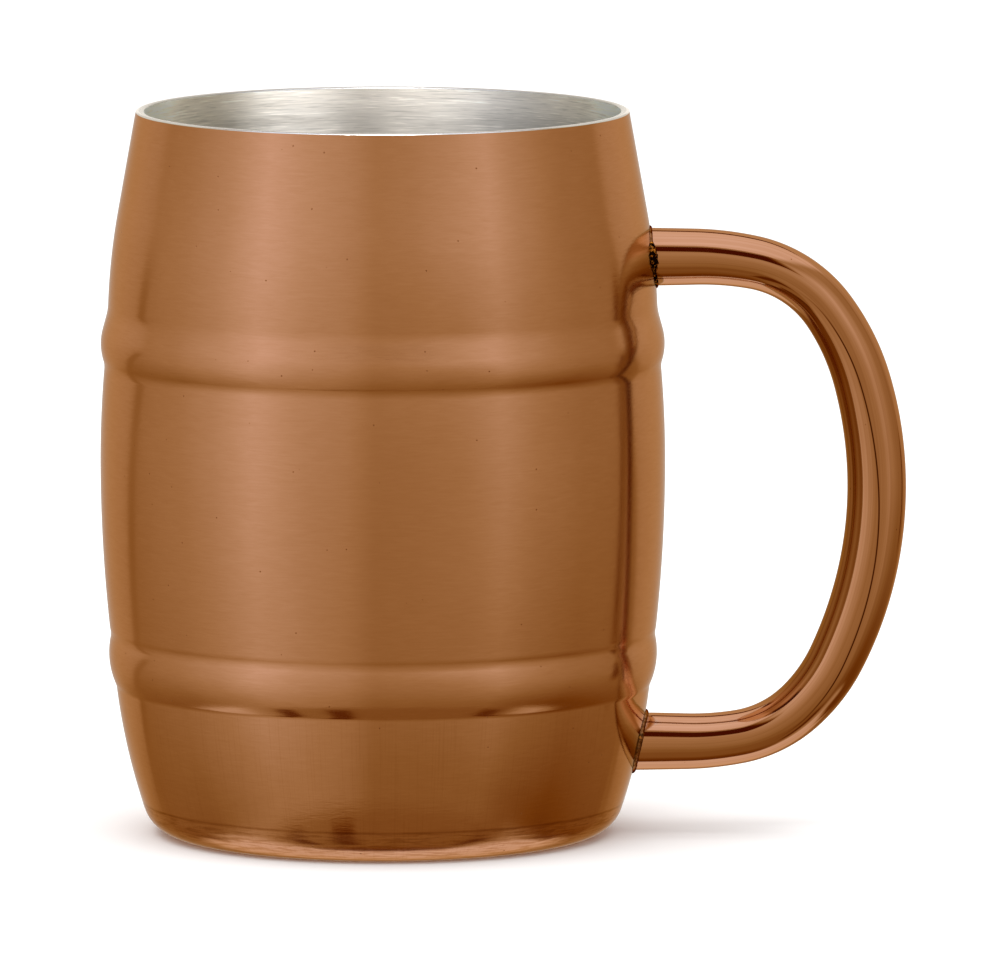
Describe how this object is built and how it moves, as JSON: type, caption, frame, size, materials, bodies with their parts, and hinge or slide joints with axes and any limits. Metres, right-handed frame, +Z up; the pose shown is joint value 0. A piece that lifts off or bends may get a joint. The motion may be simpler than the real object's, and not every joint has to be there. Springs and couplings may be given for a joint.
{
  "type": "double-wall barrel mug",
  "caption": "Double-wall barrel-shaped drinking mug with rolled hoops, a stainless liner and a bent tube handle.",
  "frame": {"origin": "centre of the flat foot ring, on the surface the mug stands on", "axes": "+Z up along the body's axis, +X towards the handle, +Y to the side"},
  "size_m": [0.1268, 0.0888, 0.1143],
  "materials": {
    "copper_plate": "copper plated, fine brushed",
    "handle_copper": "copper plated, mirror polished",
    "weld_copper": "copper plated weld bead, slightly darkened",
    "liner_steel": "circumferentially brushed",
    "lip_steel": "polished"
  },
  "bodies": {
    "root": {"outer_shell": "copper_plate", "inner_cup": "liner_steel", "rim_weld": "lip_steel", "base_plate": "copper_plate", "base_weld": "weld_copper", "handle_tube": "handle_copper", "upper_handle_weld": "weld_copper", "lower_handle_weld": "weld_copper"}
  },
  "joints": []
}
